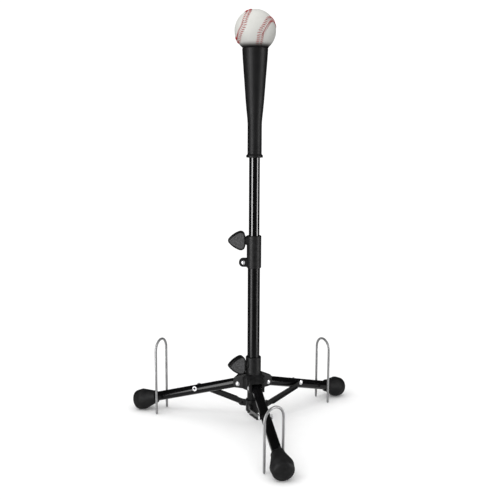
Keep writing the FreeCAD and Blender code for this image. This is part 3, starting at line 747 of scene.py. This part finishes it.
def leg_pieces(name):
    out, side = leg_side(name)
    inner = out * CROWN_PIVOT[0] + UP * CROWN_PIVOT[1]
    foot_at = out * FOOT_CENTRE[0] + UP * FOOT_CENTRE[1]
    axis = (foot_at - inner).normalized()
    length = (foot_at - inner).length

    outline = filleted(
        [
            (length - 6.2 * MM, 0.0),
            (length - 6.2 * MM, LEG_R + 0.05 * MM),
            (length - 31.0 * MM, LEG_R + 0.05 * MM),
            (length - 31.0 * MM, 12.0 * MM, 0.8 * MM),
            (length - 28.4 * MM, 12.2 * MM, 0.3 * MM),
            (length - 28.0 * MM, 11.8 * MM, 0.2 * MM),
            (length - 27.0 * MM, 12.1 * MM, 0.8 * MM),
            (length - 3.0 * MM, 19.7 * MM, 6.0 * MM),
            (length + 11.5 * MM, 18.0 * MM, 8.0 * MM),
            (length + 17.8 * MM, 8.0 * MM, 5.0 * MM),
            (length + 17.95 * MM, 0.0),
        ],
        steps=8,
    )
    foot = lathe(f"foot_{name}_looks", outline, inner, axis, FOOT, 96)
    for v in foot.data.vertices:
        v.co.z = max(v.co.z, 0.0)
    place(foot, BODY_OF[f"foot_{name}"], "foot_rubber", f"foot_{name}")

    tube = pipe(-LEG_R * 0.55, length - 6.0 * MM, LEG_R, LEG_R - TUBE_WALL, 0.5 * MM)
    leg = lathe(f"leg_{name}_looks", tube, inner, axis, LEG_BLACK, 72, closed=True)
    place(leg, BODY_OF[f"leg_{name}"], "black_enamel", f"leg_{name}")

    strut = bevelled(f"strut_{name}_looks", f"strut_{name}", SATIN, 0.45 * MM, 2)
    place(strut, BODY_OF[f"strut_{name}"], "black_enamel", f"strut_{name}")
    spacer = bevelled(f"strut_spacer_{name}_looks", f"strut_spacer_{name}", MOULDED, 0.3 * MM, 2)
    place(spacer, BODY_OF[f"strut_spacer_{name}"], "black_plastic", f"strut_spacer_{name}")
    pin = pivot(f"leg_{name}_fold")
    end_reach = 8 * MM
    end_trim = 0.3
    for part in (strut, spacer):
        for v in part.data.vertices:
            arm = v.co - pin
            arm -= side * arm.dot(side)
            if arm.length < end_reach:
                v.co -= arm * end_trim


for name in LEGS:
    leg_pieces(name)


# ---- rivets ------------------------------------------------------------------------------------
def pin_piece(name, node, point, side, finish, slot, head, hollow=0.0):
    """A rivet through a point: domed at its first end, domed or rolled open at the other."""
    reach = 6 * MM
    rise = 2.0 * MM
    shank = 2.5 * MM
    bottom = 5.0 * MM
    near = []
    for v in NODES[node].data.vertices:
        p = v.co - point
        along = p.dot(side)
        if (p - side * along).length < reach:
            near.append(along)
    low, high = min(near), max(near)
    first = [Vector((low + rise - p.x, p.y)) for p in dome(head, rise)]
    outline = first[::-1] + [Vector((low + rise, shank))]
    if hollow:
        lip = high - 1.5 * MM
        outline.append(Vector((lip, shank)))
        outline += filleted(
            [
                (lip, head, 0.2 * MM),
                (high, head, 0.7 * MM),
                (high, hollow, 0.5 * MM),
                (high - bottom, hollow, 0.3 * MM),
                (high - bottom, 0.0),
            ]
        )
    else:
        outline.append(Vector((high - rise, shank)))
        outline += [Vector((high - rise + p.x, p.y)) for p in dome(head, rise)]
    obj = lathe(name, outline, point, side, finish, 48, sharp=50)
    return place(obj, BODY_OF[node], slot, node)


for name in LEGS:
    out, side = leg_side(name)
    low_pivot = pivot(f"strut_{name}_fold")
    mid_pivot = pivot(f"leg_{name}_fold")
    high_pivot = out * CROWN_PIVOT[0] + UP * CROWN_PIVOT[1]
    strut_rivet = f"strut_rivet_{name}"
    pin_piece(f"crown_rivet_{name}", "crown_rivets", high_pivot, side, ZINC, "zinc", 3.9 * MM)
    pin_piece(f"bracket_rivet_{name}", "bracket_rivets", low_pivot, side, SATIN, "black_enamel", 3.4 * MM)
    pin_piece(strut_rivet + "_looks", strut_rivet, mid_pivot, side, ZINC, "zinc", 4.6 * MM, 2.2 * MM)

for node in ("collar_pinch_screw", "collar_pinch_nut", "upper_clamp_nut", "lower_clamp_nut"):
    place(bevelled(node + "_looks", node, ZINC, 0.2 * MM), BODY_OF[node], "zinc", node)


# ---- pegs --------------------------------------------------------------------------------------
def peg_piece(name):
    """A bent wire: two legs and the arch between them, set where the CAD's legs end."""
    node = f"peg_{name}"
    verts = [v.co for v in NODES[node].data.vertices]
    low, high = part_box(node)
    middle = (low + high) / 2
    ends = [v for v in verts if v.z < low.z + 0.2 * MM]
    toward = (ends[0] - middle).xy
    ends = [v for v in ends if (v - middle).xy.dot(toward) > 0]
    arm = sum((v.xy for v in ends), Vector((0, 0))) / len(ends) - middle.xy
    half = arm.length
    across = Vector((arm.x, arm.y, 0)).normalized()
    wire = 2.2 * MM
    tip = 1.5 * MM
    point = 2.0 * MM
    tip_steps, leg_steps, arch_steps = 6, 20, 32
    arch_z = high.z - wire - half
    base = Vector((middle.x, middle.y, 0))
    leg = []
    for k in range(tip_steps + 1):
        share = k / tip_steps
        leg.append((low.z + point * share, tip + (wire - tip) * share))
    for k in range(1, leg_steps):
        leg.append((low.z + point + (arch_z - low.z - point) * k / leg_steps, wire))
    path = [base - across * half + UP * z for z, _ in leg]
    radii = [r for _, r in leg]
    for k in range(arch_steps + 1):
        angle = math.pi * (1 - k / arch_steps)
        path.append(base + across * half * math.cos(angle) + UP * (arch_z + half * math.sin(angle)))
        radii.append(wire)
    path += [base + across * half + UP * z for z, _ in reversed(leg)]
    radii += [r for _, r in reversed(leg)]
    obj = sweep(f"{node}_looks", path, radii, WIRE, 24)
    return place(obj, BODY_OF[node], "peg_wire", node)


for name in LEGS:
    peg_piece(name)


# ---- every CAD piece that is still shown -------------------------------------------------------
BY_WORD = (("screw", ZINC), ("winding", YARN), ("core", CORE))
for node, obj in NODES.items():
    if obj.hide_render:
        continue
    finish = next((f for word, f in BY_WORD if word in node), MOULDED)
    obj.data.materials.clear()
    obj.data.materials.append(finish)


# ---- floor, lights, camera ----------------------------------------------------------------------
def floor_piece():
    mat = bpy.data.materials.new("floor_paper")
    nodes, link = new_nodes(mat)
    shader = nodes["Principled BSDF"]
    shader.inputs["Roughness"].default_value = 0.9
    shader.inputs["Specular IOR Level"].default_value = 0.1
    fine = nodes.new("ShaderNodeTexNoise")
    fine.inputs["Scale"].default_value = 40.0
    ramp = nodes.new("ShaderNodeValToRGB")
    ramp.color_ramp.elements[0].color = (0.97, 0.97, 0.97, 1)
    ramp.color_ramp.elements[1].color = (0.99, 0.99, 0.99, 1)
    link(fine.outputs["Fac"], ramp.inputs["Fac"])
    link(ramp.outputs["Color"], shader.inputs["Base Color"])
    radius = 0.38
    corners = 96
    drop = -0.1 * MM
    rim = []
    for k in range(corners):
        angle = 2 * math.pi * k / corners
        rim.append(Vector((radius * math.cos(angle), radius * math.sin(angle), drop)))
    floor = piece("floor", rim, [tuple(range(corners))], mat)


floor_piece()


def around(degrees, distance, height):
    """A spot at an angle to the right of the camera's direction, seen from the post."""
    angle = VIEW_AZIMUTH - math.pi / 2 + math.radians(degrees)
    return Vector((math.cos(angle) * distance, math.sin(angle) * distance, height))


def area_light(name, spot, aim_height, width, height, power, shiny_only=True):
    """A rectangular light that faces the post; it shows in reflections only, or in the rest only."""
    data = bpy.data.lights.new(name, "AREA")
    data.shape = "RECTANGLE"
    data.size = width
    data.size_y = height
    data.energy = power
    light = add_object(name, data)
    light.location = spot
    light.rotation_euler = (UP * aim_height - spot).to_track_quat("-Z", "Y").to_euler()
    light.visible_camera = False
    light.visible_diffuse = not shiny_only
    light.visible_glossy = shiny_only


area_light("softbox_left", around(-48, 0.85, 0.2), 0.2, 0.36, 1.7, 32)
area_light("softbox_right", around(72, 0.85, 0.2), 0.2, 0.30, 1.7, 21)
area_light("key", around(-50, 0.9, 1.35), 0.45, 0.5, 0.5, 3, False)


def studio_world():
    """White to the camera, nearly black in reflections, and brighter from the front and above."""
    world = bpy.data.worlds.new("studio")
    bpy.context.scene.world = world
    nodes, link = new_nodes(world)
    shell = nodes["Background"]
    shell.inputs["Color"].default_value = (1, 1, 1, 1)
    ray = nodes.new("ShaderNodeLightPath")
    where = nodes.new("ShaderNodeTexCoord")
    facing = nodes.new("ShaderNodeVectorMath")
    facing.operation = "DOT_PRODUCT"
    facing.inputs[1].default_value = around(-20, 1, 1).normalized()
    link(where.outputs["Generated"], facing.inputs[0])
    soft = nodes.new("ShaderNodeMath")
    soft.operation = "MULTIPLY_ADD"
    soft.inputs[1].default_value = 0.70
    soft.inputs[2].default_value = 0.74
    link(facing.outputs["Value"], soft.inputs[0])

    def choose(ray_kind, otherwise, strength):
        mix = nodes.new("ShaderNodeMix")
        mix.data_type = "FLOAT"
        mix.inputs["B"].default_value = strength
        link(ray.outputs[ray_kind], mix.inputs["Factor"])
        link(otherwise, mix.inputs["A"])
        return mix.outputs["Result"]

    shown = choose("Is Glossy Ray", soft.outputs["Value"], 0.02)
    link(choose("Is Camera Ray", shown, 1.08), shell.inputs["Strength"])


studio_world()


def add_camera():
    """The camera, with its focal length in pixels of a frame 500 wide."""
    distance = 1.300
    height = 0.5376
    pitch = math.radians(9.233)
    yaw = math.radians(-0.315)
    roll = math.radians(0.291)
    focal = 736.16
    frame_width = 500.0
    sensor_width = 36.0
    face = Matrix.Rotation(VIEW_AZIMUTH, 3, "Z")
    ahead = Vector((math.sin(yaw) * math.cos(pitch), math.cos(yaw) * math.cos(pitch), -math.sin(pitch)))
    right = Vector((math.cos(yaw), -math.sin(yaw), 0))
    upward = right.cross(ahead)
    r = right * math.cos(roll) + upward * math.sin(roll)
    u = -right * math.sin(roll) + upward * math.cos(roll)
    r, u, ahead = face @ r, face @ u, face @ ahead
    data = bpy.data.cameras.new("camera")
    data.sensor_width = sensor_width
    data.lens = focal * sensor_width / frame_width
    camera = add_object("camera", data)
    turn = Matrix((r, u, -ahead)).transposed().to_4x4()
    camera.matrix_world = Matrix.Translation(face @ Vector((0, -distance, height))) @ turn
    bpy.context.scene.camera = camera


add_camera()
bpy.context.scene.view_settings.view_transform = "Standard"
